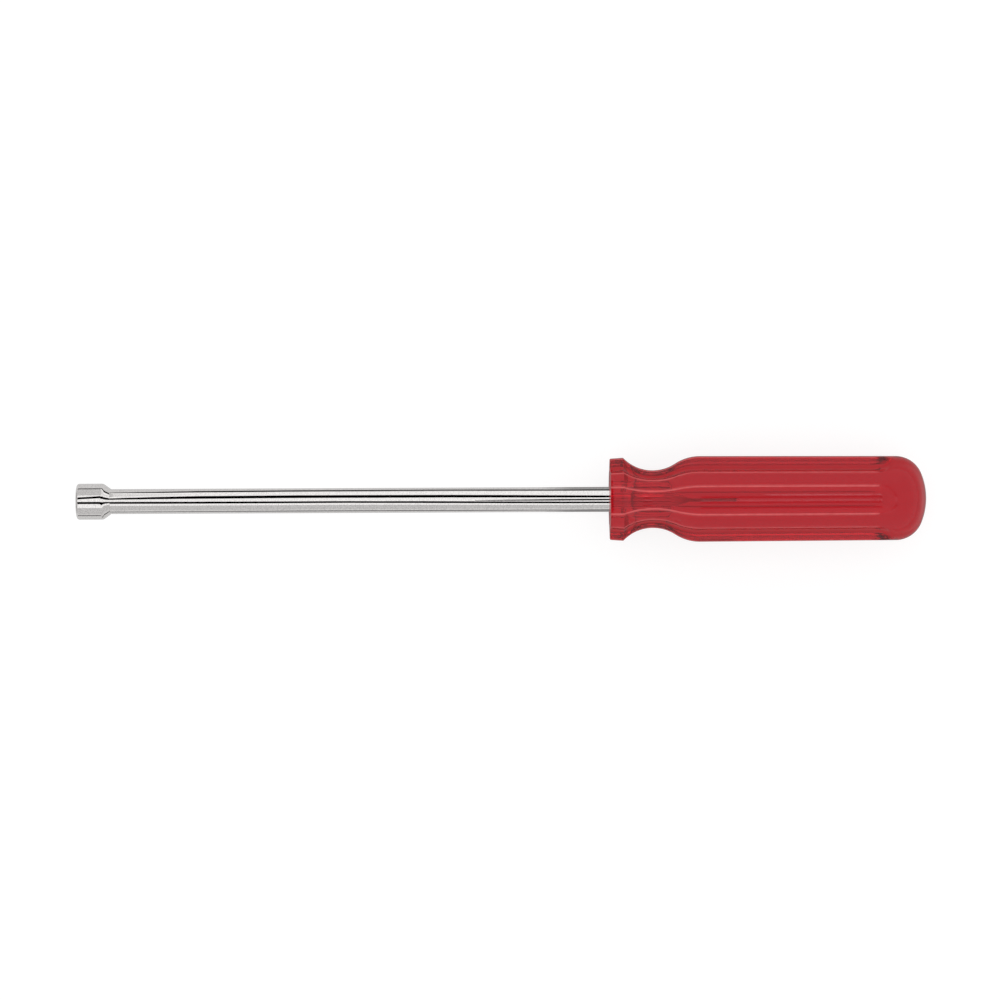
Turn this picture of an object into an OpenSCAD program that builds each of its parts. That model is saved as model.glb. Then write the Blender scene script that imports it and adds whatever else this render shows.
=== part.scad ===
// Hollow-shaft nut driver.
// A hex socket sits on a plated tube, and the tube's flattened tail is held in a fluted plastic handle.
// The tool's axis is X: the socket's mouth is at x = 0 and the handle is at the +X end.

/* [Socket] */
// Hex size across the flats
hex_af = 6.35; // [5:0.05:8]
// Play across the flats, so that a nut slips in
hex_play = 0.1; // [0.04:0.02:0.3]
// Depth of the hex recess
hex_depth = 5.6; // [4.6:0.1:7]
// Wall of the socket outside the corners of the hex
socket_wall = 1.43; // [1:0.01:3]
// Length of the straight part of the socket
socket_len = 7.6; // [7.2:0.1:14]
// Length of the cone behind the straight part
socket_cone_len = 2; // [1:0.1:5]
// Step from the end of the cone down to the shaft
cone_lip = 0.15; // [0.05:0.05:0.4]
// Rounding of the outer edge at the mouth
mouth_round = 0.75; // [0.2:0.05:0.8]
// Widening of the hex at the mouth, past its corners
lead_in = 0.2; // [0.05:0.05:0.4]

/* [Shaft] */
// Bare length of the tool, from the socket's mouth to the handle
reach = 152.4; // [60:0.1:320]
// Outside diameter of the tube
shaft_d = 7.14; // [6.4:0.01:8]
// Wall of the tube
shaft_wall = 0.7; // [0.6:0.01:1.4]
// Play between the tube and the socket
seat_play = 0.03; // [0.01:0.01:0.1]

/* [Tail inside the handle] */
// Length of round tube inside the handle
round_grip = 18; // [8:0.1:24]
// Length over which the tube is pressed flat
press_len = 5.1; // [3:0.1:10]
// Length of the flat tail
tail_len = 13.6; // [6:0.1:22]
// Bevel at the corners of the flat tail
tail_bevel = 1.5; // [0.5:0.1:3]
// Play between the plastic and the tube
grip_play = 0.03; // [0.01:0.01:0.1]

/* [Handle] */
// Length of the handle
handle_len = 90.7; // [80:0.1:130]
// Diameter of the collar at its front edge
collar_front_d = 23.3; // [20:0.1:28]
// Diameter of the collar at its rear edge
collar_d = 23.8; // [21:0.1:30]
// Distance from the front face to the collar's rear edge
collar_len = 4; // [3:0.1:8]
// How far the middle of the front face stands past its rim
face_crown = 0.2; // [0.1:0.1:1.4]
// Diameter of the flat middle of the front face, around the tube
face_flat_d = 12; // [10.5:0.1:16]
// Bevel around the front rim
rim_bevel = 0.2; // [0.1:0.1:0.8]
// Diameter at the narrowest place of the neck
neck_d = 16.5; // [14:0.1:19]
// Distance from the front face to the narrowest place
neck_at = 12.5; // [10:0.1:18]
// Radius of the shoulder between the neck and the grip
shoulder_round = 12.9; // [6:0.1:20]
// Diameter of the grip at the shoulder
grip_d = 24.6; // [22:0.1:32]
// Diameter of the grip where the dome starts
grip_end_d = 24.1; // [22:0.1:32]
// Radius of the dome's edge
dome_edge = 7.8; // [4:0.1:10]
// Radius of the dome's crown
dome_crown = 18.7; // [15:0.1:40]

/* [Flutes] */
// Number of flutes
flute_count = 6; // [5:1:8]
// Width of a flute, as an angle at the axis
flute_width = 37.5; // [26:0.5:38]
// Depth of a flute below the round lands, on the grip
flute_depth = 1.75; // [1:0.05:2.4]
// How much shallower a flute is at the neck, as a share of its depth
neck_fill = 0.25; // [0:0.05:0.6]
// Length of plain round grip between the flutes and the dome
plain_band = 1.7; // [1:0.1:10]
// Length over which a flute runs out
flute_runout = 3.8; // [2:0.1:10]

/* [Hidden] */
chrome_colour = [0.80, 0.81, 0.82];
handle_colour = [0.66, 0.17, 0.19];
// Overcut that carries a cut clear of the face it opens
cut = 1;
$fn = 96;

hex_flat_r = (hex_af + hex_play) / 2;
hex_corner_r = hex_flat_r / cos(30);
mouth_r = hex_corner_r + lead_in;
lead_depth = mouth_r - hex_flat_r;
socket_r = hex_corner_r + socket_wall;
socket_end = socket_len + socket_cone_len;
shaft_r = shaft_d / 2;
bore_r = shaft_r - shaft_wall;
press_at = reach + round_grip;
tail_at = press_at + press_len;
tail_end = tail_at + tail_len;
// A tube pressed flat is two walls thick and half its middle circumference wide
tail_thick = 2 * shaft_wall;
tail_wide = PI * (shaft_d - shaft_wall) / 2;
// The bore closes in a blunt cone, one wall short of the tail
bore_close_len = press_len - shaft_wall;
bore_tip_r = 0.25;
// The pressed stretch starts and ends just inside the round tube and the flat tail
press_lap = 0.5;
press_step = 0.05;
press_fn = 32;

// Arcs of the handle's outline, as distances from its front face and from its axis
neck_drop = (collar_d - neck_d) / 2;
neck_run = neck_at - collar_len;
neck_round = (neck_run * neck_run + neck_drop * neck_drop) / (2 * neck_drop);
neck_rise = (grip_d - neck_d) / 2;
blend_sum = neck_round + shoulder_round;
blend_len = sqrt(2 * blend_sum * neck_rise - neck_rise * neck_rise);
blend_angle = asin(blend_len / blend_sum);
shoulder_at = neck_at + blend_len;
neck_centre = [neck_at, neck_d / 2 + neck_round];
shoulder_centre = [shoulder_at, grip_d / 2 - shoulder_round];
crown_at = handle_len - dome_crown;
edge_r = grip_end_d / 2 - dome_edge;
edge_run = sqrt(pow(dome_crown - dome_edge, 2) - edge_r * edge_r);
dome_at = crown_at + edge_run;
dome_angle = atan2(edge_r, edge_run);
flute_end = dome_at - plain_band;
runout_at = flute_end - flute_runout;

// Steps along the arcs and across a flute
neck_steps = 12;
shoulder_steps = 6;
grip_steps = 3;
runout_steps = 6;
edge_steps = 7;
crown_steps = 4;
flute_steps = 6;
land_steps = 3;
round_steps = 6;

// A flute's arc, as shares of the handle's radius: its floor, its centre outside the handle and its radius
pitch = 360 / flute_count;
flute_half = flute_width / 2;
land_width = pitch - flute_width;
floor_share = 1 - flute_depth / (grip_d / 2);
flute_centre = (1 - floor_share * floor_share) / (2 * (cos(flute_half) - floor_share));
flute_round = flute_centre - floor_share;

// Points of an arc about c, with the angle measured from the +Y side towards +X
function arc(c, r, from, to, steps) =
    [for (i = [0 : steps]) let (a = from + (to - from) * i / steps) c + r * [sin(a), cos(a)]];

function without_first(points) = [for (i = [1 : len(points) - 1]) points[i]];
function grip_radius(u) =
    (grip_d + (grip_end_d - grip_d) * (u - shoulder_at) / (dome_at - shoulder_at)) / 2;
function grip_points(from, to, steps) =
    [for (i = [1 : steps]) let (u = from + (to - from) * i / steps) [u, grip_radius(u)]];

// The handle's outline over its lands, from the flat middle of the face to the edge of the dome's middle
handle_outline = concat(
    [
        [0, face_flat_d / 2],
        [face_crown, collar_front_d / 2 - rim_bevel],
        [face_crown + rim_bevel, collar_front_d / 2]
    ],
    arc(neck_centre, -neck_round, asin(neck_run / neck_round), -blend_angle, neck_steps),
    without_first(arc(shoulder_centre, shoulder_round, -blend_angle, 0, shoulder_steps)),
    grip_points(shoulder_at, runout_at, grip_steps),
    grip_points(runout_at, flute_end, runout_steps),
    arc([dome_at, edge_r], dome_edge, 0, 90 - dome_angle, edge_steps),
    [for (i = [1 : crown_steps - 1]) let (a = dome_angle * (1 - i / crown_steps))
        [crown_at, 0] + dome_crown * [cos(a), sin(a)]]
);

// Angles of the section's points: across a flute, then across the land beside it
section_angles = [for (k = [0 : flute_count - 1]) each concat(
    [for (i = [0 : flute_steps - 1]) k * pitch - flute_half + flute_width * i / flute_steps],
    [for (i = [0 : land_steps - 1]) k * pitch + flute_half + land_width * i / land_steps]
)];

// Share of the local radius at an angle from the middle of a flute: a hollow arc there, and 1 on a land
function from_flute(a) = abs(a - pitch * round(a / pitch));
function flute_share(t) = flute_centre * cos(t) - sqrt(pow(flute_round, 2) - pow(flute_centre * sin(t), 2));
// A flute's floor rises a little at the neck, and to the plain round over its run-out
function neck_lift(u) = neck_fill * exp(-pow((u - neck_at) / neck_run, 2));
function end_lift(u) = pow(min(1, max(0, (u - runout_at) / flute_runout)), 2);
function lift(u) = (1 - floor_share) * max(neck_lift(u), end_lift(u));
function share(t, u) = t < flute_half ? min(1, flute_share(t) + lift(u)) : 1;

module along_x(x) {
    translate([x, 0, 0])
    rotate([0, 90, 0])
    children();
}

module socket_body() {
    outline = concat(
        [[0, 0]],
        arc([socket_r - mouth_round, mouth_round], mouth_round, 180, 90, round_steps),
        [[socket_r, socket_len], [shaft_r + cone_lip, socket_end], [0, socket_end]]
    );
    along_x(0) rotate_extrude() polygon(outline);
}

module socket() {
    color(chrome_colour)
    difference() {
        socket_body();
        along_x(-cut) cylinder(h = hex_depth + cut, r = hex_corner_r, $fn = 6);
        along_x(0) cylinder(h = lead_depth, r1 = mouth_r, r2 = hex_flat_r);
        along_x(hex_depth) cylinder(h = socket_end - hex_depth + cut, r = shaft_r + seat_play);
    }
}

// The pressed stretch and the flat tail, grown by some play on all sides
module flat_tail(play) {
    hull() {
        along_x(press_at - press_lap)
        cylinder(h = press_lap, r = shaft_r + play - press_step, $fn = press_fn);
        tail_plate(tail_at, tail_at + press_lap, play - press_step);
    }
    tail_plate(tail_at, tail_end, play);
}

module tail_plate(from, to, play) {
    half = tail_wide / 2 + play;
    end = to + play;
    bevel = min(tail_bevel, (to - from) / 2);
    outline = [
        [from, -half], [end - bevel, -half], [end, bevel - half],
        [end, half - bevel], [end - bevel, half], [from, half]
    ];
    rotate([90, 0, 0])
    linear_extrude(height = tail_thick + 2 * play, center = true)
    polygon(outline);
}

module shaft_tube() {
    color(chrome_colour)
    difference() {
        union() {
            along_x(hex_depth) cylinder(h = press_at - hex_depth, r = shaft_r);
            flat_tail(0);
        }
        along_x(hex_depth - cut) cylinder(h = press_at - hex_depth + cut, r = bore_r);
        along_x(press_at) cylinder(h = bore_close_len, r1 = bore_r, r2 = bore_tip_r);
    }
}

// The handle as one skin of rings, each the section at one point of the outline
module handle_body() {
    rings = len(handle_outline);
    around = len(section_angles);
    points = [for (p = handle_outline) for (a = section_angles)
        let (r = p[1] * share(from_flute(a), p[0])) [reach + p[0], r * sin(a), r * cos(a)]];
    face_point = len(points);
    end_point = face_point + 1;
    skin = [for (i = [0 : rings - 2]) for (j = [0 : around - 1])
        let (k = (j + 1) % around)
        [i * around + j, i * around + k, (i + 1) * around + k, (i + 1) * around + j]];
    front = [for (j = [0 : around - 1]) [face_point, (j + 1) % around, j]];
    last = (rings - 1) * around;
    back = [for (j = [0 : around - 1]) [end_point, last + j, last + (j + 1) % around]];
    polyhedron(
        points = concat(points, [[reach, 0, 0], [reach + handle_len, 0, 0]]),
        faces = concat(skin, front, back),
        convexity = 4
    );
}

module handle() {
    color(handle_colour)
    difference() {
        handle_body();
        along_x(reach - cut) cylinder(h = press_at - reach + cut + grip_play, r = shaft_r + grip_play);
        flat_tail(grip_play);
    }
}

socket();
shaft_tube();
handle();
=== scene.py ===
"""Looks of a hollow-shaft nut driver: a plated socket and tube in a translucent red fluted handle.

Lengths are metres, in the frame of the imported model: the tool's axis is X, the socket's mouth is at
x = 0, the handle is at the +X end, and +Z is up through the middle of a flute.
"""

import logging
import math
from dataclasses import dataclass
from enum import Enum
from typing import Any

import bmesh
import bpy
import numpy as np
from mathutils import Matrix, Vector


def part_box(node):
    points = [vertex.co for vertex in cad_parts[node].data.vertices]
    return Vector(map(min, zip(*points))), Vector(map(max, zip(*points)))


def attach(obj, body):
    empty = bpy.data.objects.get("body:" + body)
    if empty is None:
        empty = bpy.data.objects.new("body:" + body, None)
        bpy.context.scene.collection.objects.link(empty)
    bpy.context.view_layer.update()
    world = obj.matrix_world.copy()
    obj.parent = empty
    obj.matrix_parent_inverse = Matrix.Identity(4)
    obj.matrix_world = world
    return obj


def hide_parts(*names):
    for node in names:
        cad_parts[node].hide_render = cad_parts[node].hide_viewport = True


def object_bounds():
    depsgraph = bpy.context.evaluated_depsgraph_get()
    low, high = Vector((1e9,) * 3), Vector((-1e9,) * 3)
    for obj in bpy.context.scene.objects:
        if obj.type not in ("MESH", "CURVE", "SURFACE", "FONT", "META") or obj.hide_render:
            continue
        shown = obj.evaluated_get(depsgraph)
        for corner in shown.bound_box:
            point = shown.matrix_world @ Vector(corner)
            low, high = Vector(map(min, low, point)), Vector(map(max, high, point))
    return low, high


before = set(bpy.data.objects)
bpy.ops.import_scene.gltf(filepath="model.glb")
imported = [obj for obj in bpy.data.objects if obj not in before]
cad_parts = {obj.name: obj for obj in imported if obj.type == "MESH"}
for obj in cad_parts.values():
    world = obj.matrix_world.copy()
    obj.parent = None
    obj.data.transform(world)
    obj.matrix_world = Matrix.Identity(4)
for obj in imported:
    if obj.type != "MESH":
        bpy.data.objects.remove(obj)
CAD_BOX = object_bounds()
BODY = "root"
# Mesh attribute for the handle's pale coat: painted highlight along the flutes' ridges, and wear on the
# face.
HIGHLIGHT_AND_WEAR = "wear"
INSIDE = "inside"
MM = 0.001
MERGE = 0.0001 * MM
log = logging.getLogger("nut_driver")

Colour = tuple[float, float, float]


class Wire:
    """One output socket of a node tree, with Python's operators for values."""

    def __init__(self, graph: "Graph", socket: bpy.types.NodeSocket | None) -> None:
        """Keeps the socket, which an output node lacks, and the graph that it belongs to."""
        self.graph = graph
        self.socket = socket

    def __add__(self, other: "Value") -> "Wire":
        """Adds a value."""
        return self.graph.math("ADD", self, other)

    def __radd__(self, other: float) -> "Wire":
        """Adds this to a number."""
        return self.graph.math("ADD", other, self)

    def __sub__(self, other: "Value") -> "Wire":
        """Takes a value away."""
        return self.graph.math("SUBTRACT", self, other)

    def __rsub__(self, other: float) -> "Wire":
        """Takes this away from a number."""
        return self.graph.math("SUBTRACT", other, self)

    def __mul__(self, other: "Value") -> "Wire":
        """Multiplies by a value."""
        return self.graph.math("MULTIPLY", self, other)

    def __rmul__(self, other: float) -> "Wire":
        """Multiplies a number by this."""
        return self.graph.math("MULTIPLY", other, self)

    def __pow__(self, other: "Value") -> "Wire":
        """Raises to a power."""
        return self.graph.math("POWER", self, other)

    def __or__(self, other: "Value") -> "Wire":
        """Takes the larger of two values."""
        return self.graph.math("MAXIMUM", self, other)


Value = Wire | float


class Graph:
    """A node tree that is written as expressions."""

    def __init__(self, tree: bpy.types.NodeTree) -> None:
        """Starts from an empty tree."""
        self.tree = tree
        tree.nodes.clear()

    def node(
        self,
        kind: str,
        settings: dict[str, Any] | None = None,
        sockets: dict[Any, Any] | None = None,
        output: Any = 0,
    ) -> Wire:
        """Adds one node.

        Args:
            kind: Blender's name for the node's type.
            settings: The node's own settings, set first; "stops" holds a ramp's (place, colour) pairs.
            sockets: Values or wires for the node's inputs, by name or place.
            output: Name or place of the output that is wanted.

        Returns:
            The wire of that output.
        """
        node = self.tree.nodes.new(kind)
        for name, value in (settings or {}).items():
            if name == "stops":
                self._set_stops(node.color_ramp, value)
            else:
                setattr(node, name, value)
        for name, value in (sockets or {}).items():
            if isinstance(value, Wire):
                self.tree.links.new(value.socket, node.inputs[name])
            else:
                node.inputs[name].default_value = value
        return Wire(self, node.outputs[output]) if len(node.outputs) else Wire(self, None)

    @staticmethod
    def _set_stops(ramp: bpy.types.ColorRamp, stops: list[tuple[float, float]]) -> None:
        """Gives a ramp its stops.

        Args:
            ramp: The ramp, with two stops as Blender makes it.
            stops: The wanted stops, as places and grey levels.
        """
        while len(ramp.elements) < len(stops):
            ramp.elements.new(1.0)
        for element, (place, level) in zip(ramp.elements, stops):
            element.position = place
            element.color = (level, level, level, 1.0)

    def math(self, operation: str, *values: Value) -> Wire:
        """Adds a Math node for an operation on values."""
        return self.node("ShaderNodeMath", {"operation": operation}, dict(enumerate(values)))

    def mix(self, factor: Value, low: Any, high: Any) -> Wire:
        """Mixes two colours by a factor."""
        settings = {"data_type": "RGBA"}
        return self.node("ShaderNodeMix", settings, {0: factor, 6: rgba(low), 7: rgba(high)}, 2)

    def stretch(self, vector: Wire, scale: tuple[float, float, float]) -> Wire:
        """Multiplies a vector, part by part."""
        return self.node("ShaderNodeVectorMath", {"operation": "MULTIPLY"}, {0: vector, 1: scale})

    def noise(self, vector: Wire, detail: float = 2.0) -> Wire:
        """Gives smooth noise, about 0.5, with one feature per unit of the vector."""
        return self.node("ShaderNodeTexNoise", {}, {"Vector": vector, "Scale": 1.0, "Detail": detail})

    def object_point(self) -> Wire:
        """Gives the point on the piece, in metres."""
        return self.node("ShaderNodeTexCoord", output="Object")

    def bump(self, height: Wire, strength: float, distance: float) -> Wire:
        """Gives the normal of a surface with fine relief."""
        sockets = {"Height": height, "Strength": strength, "Distance": distance}
        return self.node("ShaderNodeBump", {}, sockets)

    def finish(self, shader: Wire, kind: str = "ShaderNodeOutputMaterial") -> None:
        """Leads a shader to the tree's output."""
        self.node(kind, {}, {"Surface": shader})


def rgba(colour: Any) -> Any:
    """Gives a colour its fourth part, and leaves a wire as it is."""
    return colour if isinstance(colour, Wire) else (*colour, 1.0)


def new_material(name: str) -> tuple[bpy.types.Material, Graph]:
    """Makes a material.

    Args:
        name: Name of the material.

    Returns:
        The material and its empty graph.
    """
    material = bpy.data.materials.new(name)
    material.use_nodes = True
    return material, Graph(material.node_tree)


def arc(centre: tuple[float, float], radius: float, start: float, stop: float, count: int) -> np.ndarray:
    """Gives points of an arc of an outline.

    A point is centre + radius * (sin a, cos a), so a = 0 is straight away from the axis and a grows
    towards +X.

    Args:
        centre: Distance along the axis and from it.
        radius: Radius of the arc, negative for the far side of its circle.
        start: First angle, in radians.
        stop: Last angle, in radians.
        count: Number of points.

    Returns:
        Points as rows of distance along the axis and from it.
    """
    turn = np.linspace(start, stop, count)
    return np.column_stack([centre[0] + radius * np.sin(turn), centre[1] + radius * np.cos(turn)])


def spread(along: np.ndarray, density: np.ndarray) -> np.ndarray:
    """Sets stations along a line, closer where a density is high.

    The density's running sum is cut into equal steps of about 1, and a station sits at each.

    Args:
        along: Places along the line, in rising order.
        density: Stations per unit of length at those places.

    Returns:
        The stations, with both ends of the line among them.
    """
    steps = np.diff(along) * (density[1:] + density[:-1]) / 2
    total = np.concatenate([[0.0], np.cumsum(steps)])
    return np.interp(np.linspace(0.0, total[-1], math.ceil(total[-1]) + 1), total, along)


@dataclass(frozen=True)
class Walk:
    """How rows are set along an outline.

    The outline is sampled at even steps and each channel is averaged over a window, which rounds its
    corners. The rows' density is 1 / stride + bend / turn, where bend is the outline's turn per metre.
    """

    window: float
    stride: float
    turn: float = math.radians(4.0)
    closed: bool = False
    samples: int = 8

    def rows(self, outline: np.ndarray) -> np.ndarray:
        """Walks an outline.

        Args:
            outline: Corner points as rows: distance along the axis, distance from it, other channels.

        Returns:
            Rows of the same channels along the rounded outline.
        """
        legs = np.linalg.norm(np.diff(outline[:, :2], axis=0), axis=1)
        reached = np.concatenate([[0.0], np.cumsum(legs)])
        count = math.ceil(reached[-1] * self.samples / self.window)
        along = np.linspace(0.0, reached[-1], count + 1)
        even = np.column_stack([np.interp(along, reached, channel) for channel in outline.T])
        half = self.samples // 2
        if self.closed:
            padded = np.vstack([even[-half - 1:-1], even, even[1:half + 1]])
        else:
            padded = np.pad(even, ((half, half), (0, 0)), mode="reflect", reflect_type="odd")
        eased = np.lib.stride_tricks.sliding_window_view(padded, 2 * half + 1, axis=0).mean(axis=-1)
        heading = np.unwrap(np.arctan2(np.gradient(eased[:, 1]), np.gradient(eased[:, 0])))
        bend = np.abs(np.gradient(heading, along))
        stations = spread(along, 1.0 / self.stride + bend / self.turn)
        rows = np.column_stack([np.interp(stations, along, channel) for channel in eased.T])
        return rows[:-1] if self.closed else rows


def skin(
    name: str, rings: np.ndarray, closed: bool, crease: float, shares: dict[str, np.ndarray] | None = None
) -> bpy.types.Object:
    """Makes a closed mesh from rings of points around the axis.

    Each ring is joined to the next by quads. The rings at the two ends either shrink to a point each or
    are joined to each other.

    Args:
        name: Name of the object and of its mesh.
        rings: Points as an array of ring, place in the ring, and x, y, z.
        closed: Whether the last ring is joined to the first.
        crease: Angle, in radians, past which an edge is shaded sharp.
        shares: Values from 0 to 1 for each point, kept as attributes of the mesh by name.

    Returns:
        The object, linked to the scene, with its place in its mesh.
    """
    index = np.arange(rings.shape[0] * rings.shape[1]).reshape(rings.shape[:2])
    if closed:
        index = np.vstack([index, index[:1]])
    ahead = np.roll(index, -1, axis=1)
    quads = np.stack([index[:-1], index[1:], ahead[1:], ahead[:-1]], axis=-1).reshape(-1, 4)
    mesh = bpy.data.meshes.new(name)
    mesh.from_pydata(rings.reshape(-1, 3).tolist(), [], quads.tolist())
    for title, share in (shares or {}).items():
        mesh.attributes.new(title, "FLOAT", "POINT").data.foreach_set("value", share.ravel())
    merged = bmesh.new()
    merged.from_mesh(mesh)
    bmesh.ops.remove_doubles(merged, verts=merged.verts[:], dist=MERGE)
    merged.to_mesh(mesh)
    merged.free()
    mesh.shade_smooth()
    mesh.set_sharp_from_angle(angle=crease)
    piece = bpy.data.objects.new(name, mesh)
    bpy.context.scene.collection.objects.link(piece)
    return piece


class Grain(Enum):
    """The way that the fine marks of a plated surface run."""

    DRAWN = "along the axis"
    TURNED = "around the axis"


@dataclass(frozen=True)
class ChromePlate:
    """Bright plate over steel: a mirror with fine marks, haze and dull specks, and raw steel inside."""

    name: str
    grain: Grain
    bright: Colour = (0.97, 0.945, 0.935)
    dull: Colour = (0.62, 0.60, 0.59)
    raw: Colour = (0.42, 0.41, 0.40)
    polish: float = 0.015
    haze: float = 0.07
    raw_haze: float = 0.45
    mark_width: float = 0.12 * MM
    mark_length: float = 9.0 * MM
    speck: float = 0.35 * MM
    speck_stops: tuple[tuple[float, float], ...] = ((0.42, 0.0), (0.74, 1.0))
    speck_detail: float = 3.0
    relief: float = 0.02 * MM
    relief_strength: float = 0.06
    dulled_by_specks: float = 0.7
    hazed_by_specks: float = 0.6
    raised_by_specks: float = 0.3

    def material(self) -> bpy.types.Material:
        """Makes the material: marks and specks vary its colour, its roughness and its relief.

        The plate doesn't reach the inside, where the steel is darker and rougher.

        Returns:
            The material.
        """
        material, graph = new_material(self.name)
        point = graph.object_point()
        marks = graph.noise(self._mark_space(graph, point))
        specks = graph.noise(graph.stretch(point, (1.0 / self.speck,) * 3), self.speck_detail)
        wear = graph.node("ShaderNodeValToRGB", {"stops": self.speck_stops}, {"Fac": specks})
        inside = graph.node("ShaderNodeAttribute", {"attribute_name": INSIDE}, output="Fac")
        plate = graph.mix(self._shared(wear, marks, self.dulled_by_specks), self.bright, self.dull)
        hazy = self.polish + (self.haze - self.polish) * self._shared(wear, marks, self.hazed_by_specks)
        height = self._shared(specks, marks, self.raised_by_specks)
        shader = graph.node("ShaderNodeBsdfPrincipled", {}, {
            "Base Color": graph.mix(inside, plate, self.raw),
            "Metallic": 1.0,
            "Roughness": hazy + self.raw_haze * inside,
            "Normal": graph.bump(height, self.relief_strength, self.relief),
        })
        graph.finish(shader)
        return material

    @staticmethod
    def _shared(specks: Wire, marks: Wire, share: float) -> Wire:
        """Adds specks and marks, with the specks' share given and the rest for the marks."""
        return specks * share + marks * (1.0 - share)

    def _mark_space(self, graph: Graph, point: Wire) -> Wire:
        """Stretches space along the marks: a noise there has long thin features.

        Args:
            graph: The material's graph.
            point: The point on the piece.

        Returns:
            The point, in units of a mark's length and width.
        """
        long, fine = 1.0 / self.mark_length, 1.0 / self.mark_width
        if self.grain is Grain.DRAWN:
            return graph.stretch(point, (long, fine, fine))
        return graph.stretch(point, (fine, long, long))


@dataclass(frozen=True)
class TintedPlastic:
    """Clear red plastic with faint streaks along its length, and a pale scuffed coat: a painted highlight
    along the flutes' ridges, and wear on the face.
    """

    name: str
    deep: Colour = (0.47, 0.006, 0.012)
    light: Colour = (0.53, 0.010, 0.018)
    # Pale pink of the coat that paints highlight lines along the ridges and is wear on the face.
    highlight_and_wear_colour: Colour = (0.60, 0.100, 0.105)
    sheen: Colour = (0.70, 0.70, 0.76)
    bare: Colour = (1.0, 1.0, 1.0)
    clearness: float = 0.9
    dullness: float = 0.2
    refraction: float = 1.48
    polish: float = 0.03
    handled: float = 0.08
    rubbed: float = 0.45
    streak_width: float = 0.7 * MM
    streak_length: float = 45.0 * MM
    streak_detail: float = 3.0
    scuff: float = 2.5 * MM
    scuff_detail: float = 5.0
    # How much of the pale coat shows (painted highlight on the ridges, wear on the face): at least, and more
    # with the scuffs.
    highlight_and_wear_least: float = 0.55
    highlight_and_wear_swing: float = 0.9
    relief: float = 0.03 * MM
    relief_strength: float = 0.05
    raised_by_scuffs: float = 0.4

    def material(self) -> bpy.types.Material:
        """Makes the material: streaks vary its colour, and a pale coat varies its colour and roughness, as a
        painted highlight on the ridges and as wear on the face; scuffs vary the coat, the roughness and the
        relief.

        The tint belongs to the outer surface, so light that passes to the tube is tinted there alone.

        Returns:
            The material.
        """
        material, graph = new_material(self.name)
        point = graph.object_point()
        long, fine = 1.0 / self.streak_length, 1.0 / self.streak_width
        streaks = graph.noise(graph.stretch(point, (long, fine, fine)), self.streak_detail)
        scuffs = graph.noise(graph.stretch(point, (1.0 / self.scuff,) * 3), self.scuff_detail)
        height = streaks * (1.0 - self.raised_by_scuffs) + scuffs * self.raised_by_scuffs
        wear = graph.node("ShaderNodeAttribute", {"attribute_name": HIGHLIGHT_AND_WEAR}, output="Fac")
        inside = graph.node("ShaderNodeAttribute", {"attribute_name": INSIDE}, output="Fac")
        clear = graph.node("ShaderNodeBsdfPrincipled", {}, {
            "Base Color": graph.mix(inside, graph.mix(streaks, self.deep, self.light), self.bare),
            "Roughness": self.polish + (self.handled - self.polish) * scuffs,
            "IOR": self.refraction,
            "Specular Tint": rgba(self.sheen),
            "Transmission Weight": self.clearness,
            "Normal": graph.bump(height, self.relief_strength, self.relief),
        })
        # Painted highlight: the pale, rough coat that the mesh's share mixes in along the flutes' ridges
        # stands for their bright highlight lines; on the face it is wear.
        highlight_and_wear_coat = graph.node("ShaderNodeBsdfPrincipled", {}, {
            "Base Color": rgba(self.highlight_and_wear_colour),
            "Roughness": self.rubbed,
            "Specular IOR Level": self.dullness,
        })
        factor = wear * (self.highlight_and_wear_least + self.highlight_and_wear_swing * scuffs)
        graph.finish(graph.node("ShaderNodeMixShader", {}, {0: factor, 1: clear, 2: highlight_and_wear_coat}))
        return material


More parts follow.
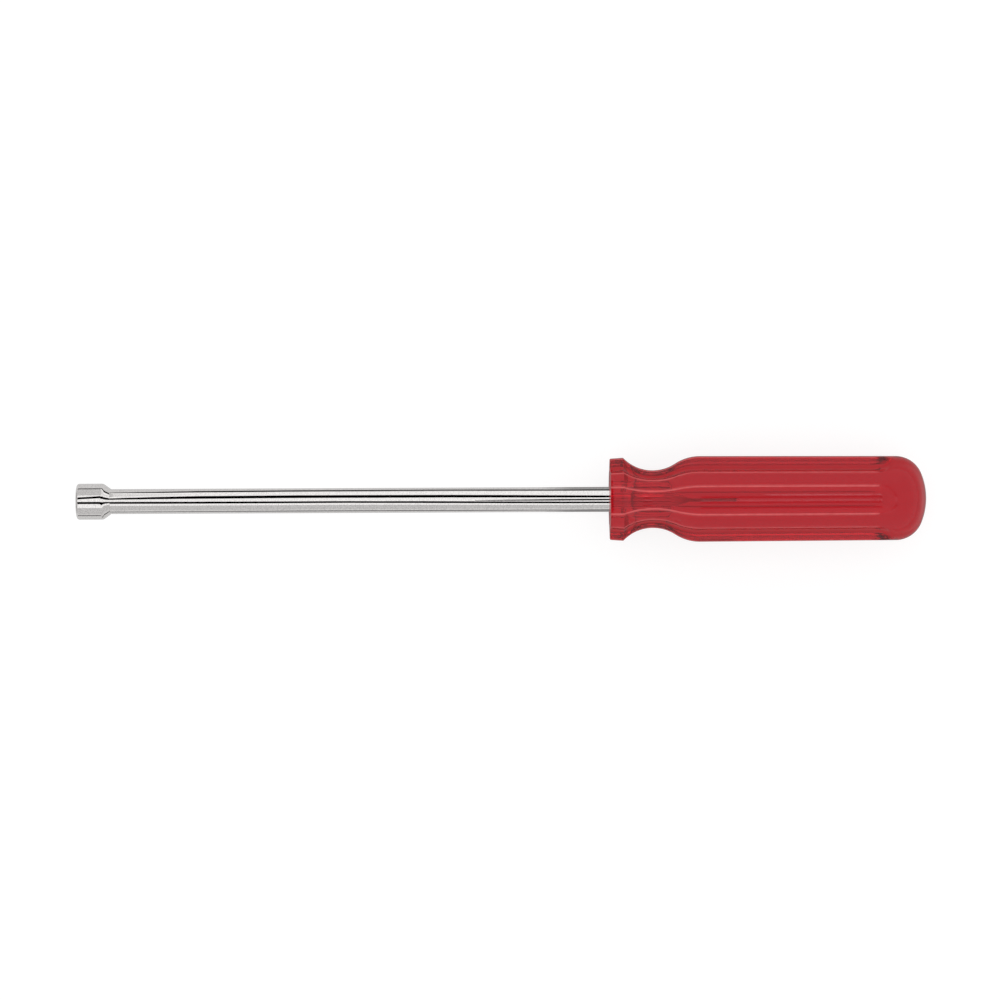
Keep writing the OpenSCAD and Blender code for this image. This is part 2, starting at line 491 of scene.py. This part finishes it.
@dataclass(frozen=True)
class Socket:
    """The turned head with its hex recess."""

    length: float
    radius: float
    tube_radius: float
    hex_depth: float
    finish: ChromePlate
    node: str = "socket"
    name: str = "plated_socket"
    straight: float = 7.6 * MM
    lip: float = 0.15 * MM
    mouth_round: float = 0.75 * MM
    hex_flat: float = 3.225 * MM
    lead_in: float = 0.2 * MM
    seat_play: float = 0.03 * MM
    cone_round: float = 1.5 * MM
    sides: int = 6
    columns: int = 144
    mouth_points: int = 16
    cone_points: int = 12
    crease: float = math.radians(32.0)
    walk: Walk = Walk(window=0.12 * MM, stride=0.35 * MM, turn=math.radians(6.0), closed=True)

    def build(self) -> bpy.types.Object:
        """Builds the head as one ring of outline carried round the axis.

        A ring's radius is the larger of the outline's own radius and its hex share times the hexagon's
        radius, flat / cos(a - 30 degrees) within each side.

        Returns:
            The piece.
        """
        x, radius, hexed = self.walk.rows(self._outline()).T[:, :, None]
        turn = np.linspace(0.0, 2.0 * math.pi, self.columns, endpoint=False)
        side = 2.0 * math.pi / self.sides
        hexagon = self.hex_flat / np.cos(turn % side - side / 2)
        reach = np.maximum(radius, hexed * hexagon)
        rings = np.stack([np.broadcast_to(x, reach.shape), reach * np.sin(turn), reach * np.cos(turn)], -1)
        recess = {INSIDE: np.where(x > self.lead_in, hexed, 0.0) * np.ones(turn.size)}
        return skin(self.name, rings, closed=True, crease=self.crease, shares=recess)

    def dress(self, piece: bpy.types.Object) -> None:
        """Plates the head."""
        piece.data.materials.append(self.finish.material())

    def _outline(self) -> np.ndarray:
        """Works out the closed outline, with rounded edges at the mouth and at the cone's start.

        Returns:
            Rows of distance along the axis, radius, and hex share.
        """
        corner = self.hex_flat / math.cos(math.pi / self.sides)
        mouth = corner + self.lead_in
        seat = self.tube_radius + self.seat_play
        cone_end = self.tube_radius + self.lip
        fall = math.atan2(self.radius - cone_end, self.length - self.straight)
        bend_at = self.straight - self.cone_round * math.tan(fall / 2)
        rim = (self.mouth_round, self.radius - self.mouth_round)
        bend = (bend_at, self.radius - self.cone_round)
        outer = np.vstack([
            arc(rim, self.mouth_round, -math.pi / 2, 0.0, self.mouth_points),
            arc(bend, self.cone_round, 0.0, fall, self.cone_points),
            [[self.length, cone_end], [self.length, seat]],
        ])
        inner = np.array([
            [self.hex_depth, seat, 0.0],
            [self.hex_depth, self.hex_flat - self.lead_in, 1.0],
            [mouth - self.hex_flat + self.lead_in, self.hex_flat - self.lead_in, 1.0],
            [0.0, mouth, 1.0],
            [0.0, self.radius - self.mouth_round, 0.0],
        ])
        return np.vstack([np.column_stack([outer, np.zeros(len(outer))]), inner])


@dataclass(frozen=True)
class FlatTail:
    """The pressed end of the tube, and the pocket in the handle that holds it."""

    press_at: float
    end: float
    half_wide: float
    tube_radius: float
    press_len: float = 5.1 * MM
    wall: float = 0.70 * MM
    bevel: float = 1.5 * MM
    squareness: float = 3.0

    def outline(self, play: float) -> np.ndarray:
        """Gives the tail from the round tube to its tip.

        Args:
            play: How far the outline stands off the tail.

        Returns:
            Rows of distance along the axis, half thickness, half width and squareness.
        """
        thick, wide = self.wall + play, self.half_wide + play
        return np.array([
            [self.press_at, self.tube_radius + play, self.tube_radius + play, 0.0],
            [self.press_at + self.press_len, thick, wide, 1.0],
            [self.end + play - self.bevel, thick, wide, 1.0],
            [self.end + play, thick, wide - self.bevel, 1.0],
            [self.end + play, 0.0, 0.0, 1.0],
        ])

    def rings(self, rows: np.ndarray, turn: np.ndarray) -> np.ndarray:
        """Carries a section along rows of an outline.

        The section is a superellipse: y is half thickness times sin a and z is half width times cos a,
        each raised to the power 1 / (1 + squareness), with its sign kept. A round row has no squareness.

        Args:
            rows: Rows of distance along the axis, half thickness, half width and squareness.
            turn: Angles of the ring's points, from +Z towards +Y.

        Returns:
            Points as an array of ring, place in the ring, and x, y, z.
        """
        x, thick, wide, square = rows.T[:, :, None]
        power = 1.0 / (1.0 + self.squareness * square)
        y = thick * np.sign(np.sin(turn)) * np.abs(np.sin(turn)) ** power
        z = wide * np.sign(np.cos(turn)) * np.abs(np.cos(turn)) ** power
        return np.stack([np.broadcast_to(x, y.shape), y, z], axis=-1)


@dataclass(frozen=True)
class ShaftTube:
    """The plated tube, with its bore and its flat tail."""

    start: float
    radius: float
    tail: FlatTail
    finish: ChromePlate
    node: str = "shaft_tube"
    name: str = "plated_tube"
    columns: int = 112
    crease: float = math.radians(32.0)
    walk: Walk = Walk(window=0.15 * MM, stride=2.0 * MM, turn=math.radians(9.0))

    def build(self) -> bpy.types.Object:
        """Builds the tube as one outline, from the blind end of the bore round the mouth to the tail's tip.

        Returns:
            The piece.
        """
        bore = self.radius - self.tail.wall
        blind = self.tail.press_at + self.tail.press_len - self.tail.wall
        inside = [[blind, 0.0], [self.tail.press_at, bore], [self.start, bore], [self.start, self.radius]]
        inside = np.array([[x, r, r, 0.0] for x, r in inside])
        outline = np.vstack([inside, self.tail.outline(play=0.0)])
        rows = self.walk.rows(outline)
        turn = np.linspace(0.0, 2.0 * math.pi, self.columns, endpoint=False)
        before_mouth = np.arange(len(rows))[:, None] < np.argmin(rows[:, 0])
        bore_share = {INSIDE: before_mouth * np.ones(turn.size)}
        rings = self.tail.rings(rows, turn)
        return skin(self.name, rings, closed=False, crease=self.crease, shares=bore_share)

    def dress(self, piece: bpy.types.Object) -> None:
        """Plates the tube."""
        piece.data.materials.append(self.finish.material())


@dataclass(frozen=True)
class Handle:
    """The fluted red handle: collar, neck, grip and dome."""

    end: float
    grip_radius: float
    tail: FlatTail
    finish: TintedPlastic
    node: str = "handle"
    name: str = "red_handle"
    length: float = 90.7 * MM
    round_grip: float = 18.0 * MM
    collar_front: float = 11.65 * MM
    collar_rear: float = 11.9 * MM
    collar_len: float = 4.0 * MM
    face_crown: float = 0.2 * MM
    face_flat: float = 6.0 * MM
    rim_bevel: float = 0.2 * MM
    neck_radius: float = 8.25 * MM
    neck_at: float = 12.5 * MM
    shoulder_round: float = 12.9 * MM
    grip_end_radius: float = 12.05 * MM
    dome_edge: float = 7.8 * MM
    dome_crown: float = 18.7 * MM
    play: float = 0.03 * MM
    flutes: int = 6
    flute_half: float = math.radians(18.75)
    flute_depth: float = 1.75 * MM
    neck_fill: float = 0.25
    plain_band: float = 1.7 * MM
    runout: float = 3.8 * MM
    ridge_ease: float = math.radians(0.9)
    scoop_ease: float = 0.15 * MM
    # Painted highlight: how far the pale coat reaches from the ridges onto the lands and into the flutes,
    # and how it fades where the flutes run out.
    land_highlight: float = 0.42 * MM
    flute_highlight: float = 0.10 * MM
    highlight_fade: float = 1.0 * MM
    face_wear: float = 0.5
    widest_share: float = 0.98
    slope_step: float = math.radians(0.1)
    ridge_samples: int = 7
    scoop_samples: int = 3
    turn_steps: int = 7200
    ridge_middle: float = 0.95
    ridge_reach: float = 0.13
    ridge_step: float = math.radians(0.33)
    plain_step: float = math.radians(2.4)
    face_points: int = 24
    neck_points: int = 90
    shoulder_points: int = 60
    dome_points: int = 60
    crown_points: int = 40
    crease: float = math.radians(50.0)
    pocket_walk: Walk = Walk(window=0.15 * MM, stride=1.0 * MM, turn=math.radians(9.0))
    walk: Walk = Walk(window=0.22 * MM, stride=0.9 * MM, turn=math.radians(3.5))

    @property
    def face(self) -> float:
        """Where the middle of the front face is on the axis."""
        return self.end - self.length

    @property
    def dome_at(self) -> float:
        """Distance from the face to the start of the dome."""
        rise = self.grip_end_radius - self.dome_edge
        return self.length - self.dome_crown + math.sqrt((self.dome_crown - self.dome_edge) ** 2 - rise ** 2)

    @property
    def runout_at(self) -> float:
        """Distance from the face to where the flutes start to run out."""
        return self.dome_at - self.plain_band - self.runout

    def build(self) -> bpy.types.Object:
        """Builds the handle as one skin: the pocket for the tube, then the face, and then the outside.

        Returns:
            The piece.
        """
        turn = self._columns()
        pocket = self.tail.outline(self.play)[::-1]
        bore = self.tail.tube_radius + self.play
        mouth_at = self.face + self._face_depth(np.array(bore))
        pocket = np.vstack([pocket, [mouth_at, bore, bore, 0.0]])
        inside = self.pocket_walk.rows(pocket)
        outside = self.walk.rows(self._outline(bore))[1:]
        rings = np.concatenate([self.tail.rings(inside, turn), self._fluted(outside, turn)])
        unmarked = np.zeros((len(inside), turn.size))
        round_part = (self.tail.press_at + self.tail.press_len - inside[:, :1]) / self.tail.press_len
        bare = np.clip(round_part, 0.0, 1.0) * np.ones(turn.size)
        shares = {
            HIGHLIGHT_AND_WEAR: np.concatenate([unmarked, self._wear(outside, turn)]),
            INSIDE: np.concatenate([bare, np.zeros((len(outside), turn.size))]),
        }
        return skin(self.name, rings, closed=False, crease=self.crease, shares=shares)

    def dress(self, piece: bpy.types.Object) -> None:
        """Gives the handle its red plastic."""
        piece.data.materials.append(self.finish.material())

    def _columns(self) -> np.ndarray:
        """Sets a ring's points, closer together along the flutes' ridges.

        Returns:
            Angles from +Z towards +Y, round the axis.
        """
        fine = np.linspace(0.0, 2.0 * math.pi, self.turn_steps + 1)
        from_ridge = np.abs(self._from_flute(fine) - self.flute_half * self.ridge_middle)
        near = from_ridge < self.flute_half * self.ridge_reach
        return spread(fine, 1.0 / np.where(near, self.ridge_step, self.plain_step))[:-1]

    def _face_depth(self, radius: np.ndarray) -> np.ndarray:
        """Gives how far the face lies behind its flat middle, growing evenly towards the rim."""
        rim = self.collar_front - self.rim_bevel
        return self.face_crown * np.maximum(0.0, (radius - self.face_flat) / (rim - self.face_flat))

    def _outline(self, bore: float) -> np.ndarray:
        """Gives the outline over the lands, from the bore to the dome's tip.

        The neck's arc runs through the collar's rear edge and turns into the shoulder's arc, and the
        dome's edge turns into its flatter crown.

        Args:
            bore: Radius of the hole for the tube.

        Returns:
            Rows of distance from the face, radius, and how much of the flutes shows there.
        """
        drop = self.collar_rear - self.neck_radius
        run = self.neck_at - self.collar_len
        neck_round = (run ** 2 + drop ** 2) / (2.0 * drop)
        reach = neck_round + self.shoulder_round
        rise = self.grip_radius - self.neck_radius
        blend = math.sqrt(2.0 * reach * rise - rise ** 2)
        tilt = math.asin(blend / reach)
        neck = (self.neck_at, self.neck_radius + neck_round)
        shoulder = (self.neck_at + blend, self.grip_radius - self.shoulder_round)
        edge_radius = self.grip_end_radius - self.dome_edge
        crown_at = self.length - self.dome_crown
        edge_turn = math.pi / 2 - math.atan2(edge_radius, self.dome_at - crown_at)
        across = np.linspace(bore, self.collar_front - self.rim_bevel, self.face_points)
        front = np.column_stack([self._face_depth(across), across])
        outside = np.vstack([
            [[self.face_crown + self.rim_bevel, self.collar_front]],
            arc(neck, -neck_round, math.asin(run / neck_round), -tilt, self.neck_points),
            arc(shoulder, self.shoulder_round, -tilt, 0.0, self.shoulder_points),
            arc((self.dome_at, edge_radius), self.dome_edge, 0.0, edge_turn, self.dome_points),
            arc((crown_at, 0.0), self.dome_crown, edge_turn, math.pi / 2, self.crown_points),
        ])
        shows = (across - bore) / (across[-1] - bore)
        return np.vstack([
            np.column_stack([front, shows]),
            np.column_stack([outside, np.ones(len(outside))]),
        ])

    def _from_flute(self, turn: np.ndarray) -> np.ndarray:
        """Gives the angle from the middle of the nearest flute."""
        pitch = 2.0 * math.pi / self.flutes
        return np.abs((turn + pitch / 2) % pitch - pitch / 2)

    def _hollow(self, turn: np.ndarray, along: np.ndarray) -> np.ndarray:
        """Gives the share of the local radius where a flute's surface is, which passes 1 at its edges.

        A flute's section is a hollow arc, centre * cos t - sqrt(round^2 - (centre * sin t)^2) at the angle
        t from its middle. Its floor rises a little at the neck, as a bell curve, and over the run-out with
        the square of the distance, up to the plain round.

        Args:
            turn: Angles around the axis.
            along: Distances from the face.

        Returns:
            Shares, for each pair of angle and distance.
        """
        floor = 1.0 - self.flute_depth / self.grip_radius
        centre = (1.0 - floor ** 2) / (2.0 * (math.cos(self.flute_half) - floor))
        widest = math.asin(self.widest_share * (centre - floor) / centre)
        angle = np.minimum(self._from_flute(turn), widest)
        hollow = centre * np.cos(angle) - np.sqrt((centre - floor) ** 2 - (centre * np.sin(angle)) ** 2)
        from_neck = (along - self.neck_at) / (self.neck_at - self.collar_len)
        at_neck = self.neck_fill * np.exp(-from_neck ** 2)
        at_end = np.clip((along - self.runout_at) / self.runout, 0.0, 1.0) ** 2
        return hollow + (1.0 - floor) * np.maximum(at_neck, at_end)

    def _fluted(self, rows: np.ndarray, turn: np.ndarray) -> np.ndarray:
        """Carries the fluted section along rows of the outline.

        The share of the radius is the flute's, up to 1, averaged over small steps around and along the
        handle, which rounds the ridges.

        Args:
            rows: Rows of distance from the face, radius, and how much of the flutes shows.
            turn: Angles of the ring's points, from +Z towards +Y.

        Returns:
            Points as an array of ring, place in the ring, and x, y, z.
        """
        along, radius, shows = rows.T[:, :, None]
        around = np.linspace(-self.ridge_ease, self.ridge_ease, self.ridge_samples)[:, None, None, None]
        beside = np.linspace(-self.scoop_ease, self.scoop_ease, self.scoop_samples)[:, None, None]
        share = np.minimum(1.0, self._hollow(turn + around, along + beside)).mean(axis=(0, 1))
        reach = radius * (1.0 - shows * (1.0 - share))
        x = np.broadcast_to(self.face + along, reach.shape)
        return np.stack([x, reach * np.sin(turn), reach * np.cos(turn)], axis=-1)

    def _wear(self, rows: np.ndarray, turn: np.ndarray) -> np.ndarray:
        """Works out the painted highlight along the flutes' edges, and the wear on the face.

        The distance d from an edge is (share - 1) * radius over the section's slope there, and the painted
        highlight is exp(-(d / width)^2), faded out where the flutes run out, with a width for the lands,
        where d is above zero, and one for the flutes. The face gets one even share, as wear.

        Args:
            rows: Rows of distance from the face, radius, and how much of the flutes shows.
            turn: Angles of the ring's points, from +Z towards +Y.

        Returns:
            Painted highlight and face wear from 0 to 1, as an array of ring and place in the ring.
        """
        along, radius, shows = rows.T[:, :, None]
        edges = np.array([self.flute_half - self.slope_step, self.flute_half + self.slope_step])
        low, high = self._hollow(edges, np.array(0.0))
        slope = (high - low) / (2.0 * self.slope_step)
        away = (self._hollow(turn, along) - 1.0) * radius / slope
        fade = np.clip((self.runout_at + self.scoop_ease - along) / self.highlight_fade, 0.0, 1.0)
        width = np.where(away > 0.0, self.land_highlight, self.flute_highlight)
        return np.where(shows < 1.0, self.face_wear, np.exp(-(away / width) ** 2) * fade)


@dataclass(frozen=True)
class Strip:
    """A strip of card hung along or above the tool, which only reflections show.

    Its path holds places along X in millimetres, each with the angle from straight up to the strip's
    middle, positive towards -Y, and the strip's width there, both in degrees.
    """

    name: str
    level: float
    path: tuple[tuple[float, float, float], ...]
    distance: float = 14.0 * MM
    rows: int = 120
    columns: int = 9

    def build(self) -> bpy.types.Object:
        """Builds the strip on a cylinder about the tool's axis.

        A point at the angle a from straight up is x, -distance * sin a, distance * cos a, where a is the
        middle's angle plus a share, from -1/2 to 1/2, of the width. Both run straight between the places
        of the path.

        Returns:
            The strip.
        """
        places, middles, widths = np.array(self.path).T
        places = places * MM
        x = np.linspace(places[0], places[-1], self.rows)[:, None]
        across = np.linspace(-0.5, 0.5, self.columns)
        angle = np.radians(np.interp(x, places, middles) + np.interp(x, places, widths) * across)
        y, z = -self.distance * np.sin(angle), self.distance * np.cos(angle)
        points = np.stack([np.broadcast_to(x, angle.shape), y, z], axis=-1)
        index = np.arange(angle.size).reshape(angle.shape)
        corners = [index[:-1, :-1], index[1:, :-1], index[1:, 1:], index[:-1, 1:]]
        mesh = bpy.data.meshes.new(self.name)
        mesh.from_pydata(points.reshape(-1, 3).tolist(), [], np.stack(corners, -1).reshape(-1, 4).tolist())
        strip = bpy.data.objects.new(self.name, mesh)
        bpy.context.scene.collection.objects.link(strip)
        strip.visible_camera = strip.visible_diffuse = False
        strip.visible_transmission = strip.visible_shadow = False
        material, graph = new_material(self.name)
        grey = rgba((self.level,) * 3)
        graph.finish(graph.node("ShaderNodeEmission", {}, {"Color": grey, "Strength": 1.0}))
        material.cycles.emission_sampling = "NONE"
        mesh.materials.append(material)
        return strip


@dataclass(frozen=True)
class Studio:
    """A white bench top in soft light, with strips hung for the metal and the top flute to reflect; a dark
    strip and a dimmer bench near the handle are painted shadow that only reflections show.
    """

    bench_z: float
    handle_x: float
    handle_half: float
    bench_half: float = 6.0
    bench_colour: float = 0.25
    bench_glow: float = 0.79
    # Painted shadow: mirrors see the bench's glow at the near level next to the handle, rising to the far
    # level between these distances.
    mirror_in_shadow: float = 0.12
    mirror_far: float = 0.5
    shadow_from: float = 40.0 * MM
    shadow_to: float = 70.0 * MM
    shadow_past: float = 3.5
    key_power: float = 1.5
    key_height: float = math.radians(35.0)
    key_distance: float = 1.1
    key_size: tuple[float, float] = (1.0, 0.4)
    strips: tuple[Strip, ...] = (
        Strip("strip_far", 0.0, (
            (-3.4, -17.0, 10.0), (3.5, -23.0, 11.0), (6.9, -27.0, 12.0), (7.9, -22.4, 12.3),
            (20.7, -28.6, 17.6), (33.8, -33.0, 22.9), (63.2, -36.1, 23.8), (106.8, -34.3, 22.9),
            (139.2, -28.1, 19.3), (152.9, -25.9, 17.5),
        )),
        Strip("strip_near", 0.0, (
            (-3.4, 4.5, 11.4), (6.9, 4.5, 11.4), (7.9, 8.6, 16.6), (33.8, 9.5, 16.6), (76.4, 9.6, 14.8),
            (106.8, 14.5, 15.7), (139.2, 21.1, 14.9), (152.9, 22.1, 14.0),
        )),
        Strip("strip_short", 0.02, (
            (113.9, 1.6, 2.6), (123.0, 0.7, 8.7), (139.2, -0.3, 13.1), (152.9, -0.3, 13.1),
        )),
        Strip("strip_grey", 0.58, (
            (-3.4, 52.5, 42.8), (6.9, 52.5, 42.8), (7.9, 55.8, 45.4), (89.6, 55.8, 45.4),
            (139.2, 60.2, 35.7), (152.9, 60.2, 35.7),
        )),
        Strip("strip_left", 0.60, (
            (-3.4, -54.3, 37.2), (6.9, -54.3, 37.2), (7.9, -52.6, 39.2), (9.5, -54.0, 26.0),
        )),
        Strip("strip_fade", 0.79, ((9.5, -54.0, 26.0), (32.0, -60.0, 2.0))),
        Strip("strip_top_edge", 0.02, (
            (7.9, -79.4, 7.3), (20.7, -83.1, 12.8), (33.8, -89.5, 18.4), (63.2, -95.5, 17.6),
            (106.8, -96.9, 16.7), (139.2, -90.4, 15.6), (152.9, -89.5, 15.6),
        )),
        # Painted shadow: a dark strip low on the -Y side that stands in for the tool's shadow on the bench,
        # as the metal reflects it.
        Strip("strip_mirrored_shadow", 0.03, (
            (7.9, 100.0, 6.5), (63.2, 96.3, 10.1), (106.8, 98.1, 10.2), (139.2, 100.0, 8.3),
            (152.9, 100.0, 8.3),
        )),
        Strip("strip_socket_top", 0.05, ((-3.4, -77.7, 7.8), (6.9, -77.7, 7.8))),
        Strip("strip_socket_low", 0.05, ((-3.4, 82.9, 6.1), (6.9, 82.9, 6.1))),
        Strip("strip_mouth", 0.38, ((-45.0, 0.0, 150.0), (-4.5, 0.0, 150.0))),
        Strip("strip_flute_far", 0.35, ((186.0, -27.7, 6.8), (250.0, -27.7, 6.8)), distance=200.0 * MM),
        Strip("strip_flute_middle", 0.40, ((186.0, -7.2, 6.5), (250.0, -7.2, 6.5)), distance=200.0 * MM),
        Strip("strip_flute_glow", 1.8, ((186.0, 1.2, 6.5), (246.5, 1.2, 6.5)), distance=200.0 * MM),
        Strip("strip_flute_glint", 2.6, ((211.2, 23.4, 5.5), (246.5, 23.4, 5.5)), distance=200.0 * MM),
        Strip("strip_flute_near", 0.35, ((186.0, 14.3, 7.1), (250.0, 14.3, 7.1)), distance=200.0 * MM),
    )

    def build(self) -> None:
        """Builds the bench, the strips, the lamp and the world."""
        self._bench()
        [strip.build() for strip in self.strips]
        self._key()
        self._world()

    def _shown(self, graph: Graph) -> Wire:
        """Marks the rays that show the background: from the camera, clear plastic or a mirror.

        A mirror shows the bench dimmer than the camera does, and dimmer still close to the handle: a painted
        shadow of the handle on the bench, seen only in reflections. The distance from the handle is the root
        of
        the sum of two squares: y, and how far x is past the handle's ends, which counts for more.

        Args:
            graph: The graph that the mark is for.

        Returns:
            A share: 1 from the camera and through plastic, less in a mirror, and 0 for other rays.
        """
        camera = graph.node("ShaderNodeLightPath", output="Is Camera Ray")
        through = graph.node("ShaderNodeLightPath", output="Is Transmission Ray")
        glossy = graph.node("ShaderNodeLightPath", output="Is Glossy Ray")
        x, y = (graph.node("ShaderNodeSeparateXYZ", {}, {0: graph.object_point()}, side) for side in "XY")
        past = (graph.math("ABSOLUTE", x - self.handle_x) - self.handle_half | 0.0) * self.shadow_past
        away = (past ** 2.0 + graph.math("ABSOLUTE", y) ** 2.0) ** 0.5
        # Painted shadow of the handle on the bench, which only mirrors show.
        mirror = graph.node("ShaderNodeMapRange", {}, {
            "Value": away,
            "From Min": self.shadow_from,
            "From Max": self.shadow_to,
            "To Min": self.mirror_in_shadow,
            "To Max": self.mirror_far,
        })
        return camera | through | glossy * mirror

    def _bench(self) -> bpy.types.Object:
        """Builds the bench top: a plain pale surface that still takes the tool's shadow.

        Returns:
            The bench top.
        """
        half, z = self.bench_half, self.bench_z
        mesh = bpy.data.meshes.new("bench")
        corners = [(half * x, half * y, z) for x, y in ((-1, -1), (1, -1), (1, 1), (-1, 1))]
        mesh.from_pydata(corners, [], [(0, 1, 2, 3)])
        bench = bpy.data.objects.new("bench", mesh)
        bpy.context.scene.collection.objects.link(bench)
        material, graph = new_material("bench_white")
        pale = rgba((self.bench_colour,) * 3)
        matt = graph.node("ShaderNodeBsdfDiffuse", {}, {"Color": pale})
        shown = self._shown(graph)
        glow = graph.node("ShaderNodeEmission", {}, {"Strength": shown * self.bench_glow})
        graph.finish(graph.node("ShaderNodeAddShader", {}, {0: matt, 1: glow}))
        material.cycles.emission_sampling = "NONE"
        mesh.materials.append(material)
        return bench

    def _key(self) -> None:
        """Hangs one wide soft lamp on the +Y side, which no reflection shows."""
        data = bpy.data.lights.new("key", "AREA")
        data.shape = "RECTANGLE"
        data.size, data.size_y = self.key_size
        data.energy = self.key_power
        lamp = bpy.data.objects.new("key", data)
        out, up = math.cos(self.key_height), math.sin(self.key_height)
        lamp.location = (0.0, self.key_distance * out, self.key_distance * up)
        lamp.rotation_euler = (self.key_height - math.pi / 2, 0.0, 0.0)
        lamp.visible_glossy = False
        bpy.context.scene.collection.objects.link(lamp)

    @staticmethod
    def _world() -> None:
        """Sets an even white world."""
        world = bpy.data.worlds.new("studio")
        world.use_nodes = True
        graph = Graph(world.node_tree)
        white = {"Color": rgba((1.0, 1.0, 1.0)), "Strength": 1.0}
        graph.finish(graph.node("ShaderNodeBackground", {}, white), "ShaderNodeOutputWorld")
        bpy.context.scene.world = world


@dataclass(frozen=True)
class PhotoView:
    """The camera of the photograph: down on the tool as it lies on a bench, a little from its +Y side."""

    x: float = 121.35 * MM
    y: float = -0.05 * MM
    distance: float = 1100.0 * MM
    lens: float = 138.25
    sensor: float = 36.0
    lean: float = math.radians(2.3)
    roll: float = math.radians(-0.26)

    def build(self) -> None:
        """Sets up the camera and the plain view transform."""
        data = bpy.data.cameras.new("photo_view")
        data.lens, data.sensor_width = self.lens, self.sensor
        camera = bpy.data.objects.new("photo_view", data)
        back, up = self.distance * math.sin(self.lean), self.distance * math.cos(self.lean)
        camera.location = (self.x, self.y + back, up)
        camera.rotation_euler = (-self.lean, 0.0, self.roll)
        bpy.context.scene.collection.objects.link(camera)
        bpy.context.scene.camera = camera
        bpy.context.scene.view_settings.view_transform = "Standard"


def make_pieces() -> list[Socket | ShaftTube | Handle]:
    """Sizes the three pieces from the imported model's boxes.

    Returns:
        The pieces, in the order in which they are built.
    """
    socket_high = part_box(Socket.node)[1]
    tube_low, tube_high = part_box(ShaftTube.node)
    handle_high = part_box(Handle.node)[1]
    tail = FlatTail(
        press_at=handle_high.x - Handle.length + Handle.round_grip,
        end=tube_high.x,
        half_wide=tube_high.z,
        tube_radius=tube_high.y,
    )
    socket = Socket(
        length=socket_high.x,
        radius=socket_high.y,
        tube_radius=tube_high.y,
        hex_depth=tube_low.x,
        finish=ChromePlate("turned_chrome", Grain.TURNED),
    )
    drawn = ChromePlate("drawn_chrome", Grain.DRAWN)
    tube = ShaftTube(start=tube_low.x, radius=tube_high.y, tail=tail, finish=drawn)
    plastic = TintedPlastic("red_plastic")
    handle = Handle(end=handle_high.x, grip_radius=handle_high.y, tail=tail, finish=plastic)
    return [socket, tube, handle]


def main() -> None:
    """Builds and dresses each piece, then the studio and the camera."""
    logging.basicConfig(level=logging.INFO, format="%(name)s: %(message)s")
    for part in make_pieces():
        piece = part.build()
        part.dress(piece)
        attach(piece, BODY)
        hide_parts(part.node)
        log.info("%s stands for %s with %d faces", part.name, part.node, len(piece.data.polygons))
    low, high = (list(corner) for corner in CAD_BOX)
    handle_low, handle_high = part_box(Handle.node)
    middle, half = (handle_low.x + handle_high.x) / 2, (handle_high.x - handle_low.x) / 2
    Studio(bench_z=low[2], handle_x=middle, handle_half=half).build()
    PhotoView().build()


if __name__ == "__main__":
    main()
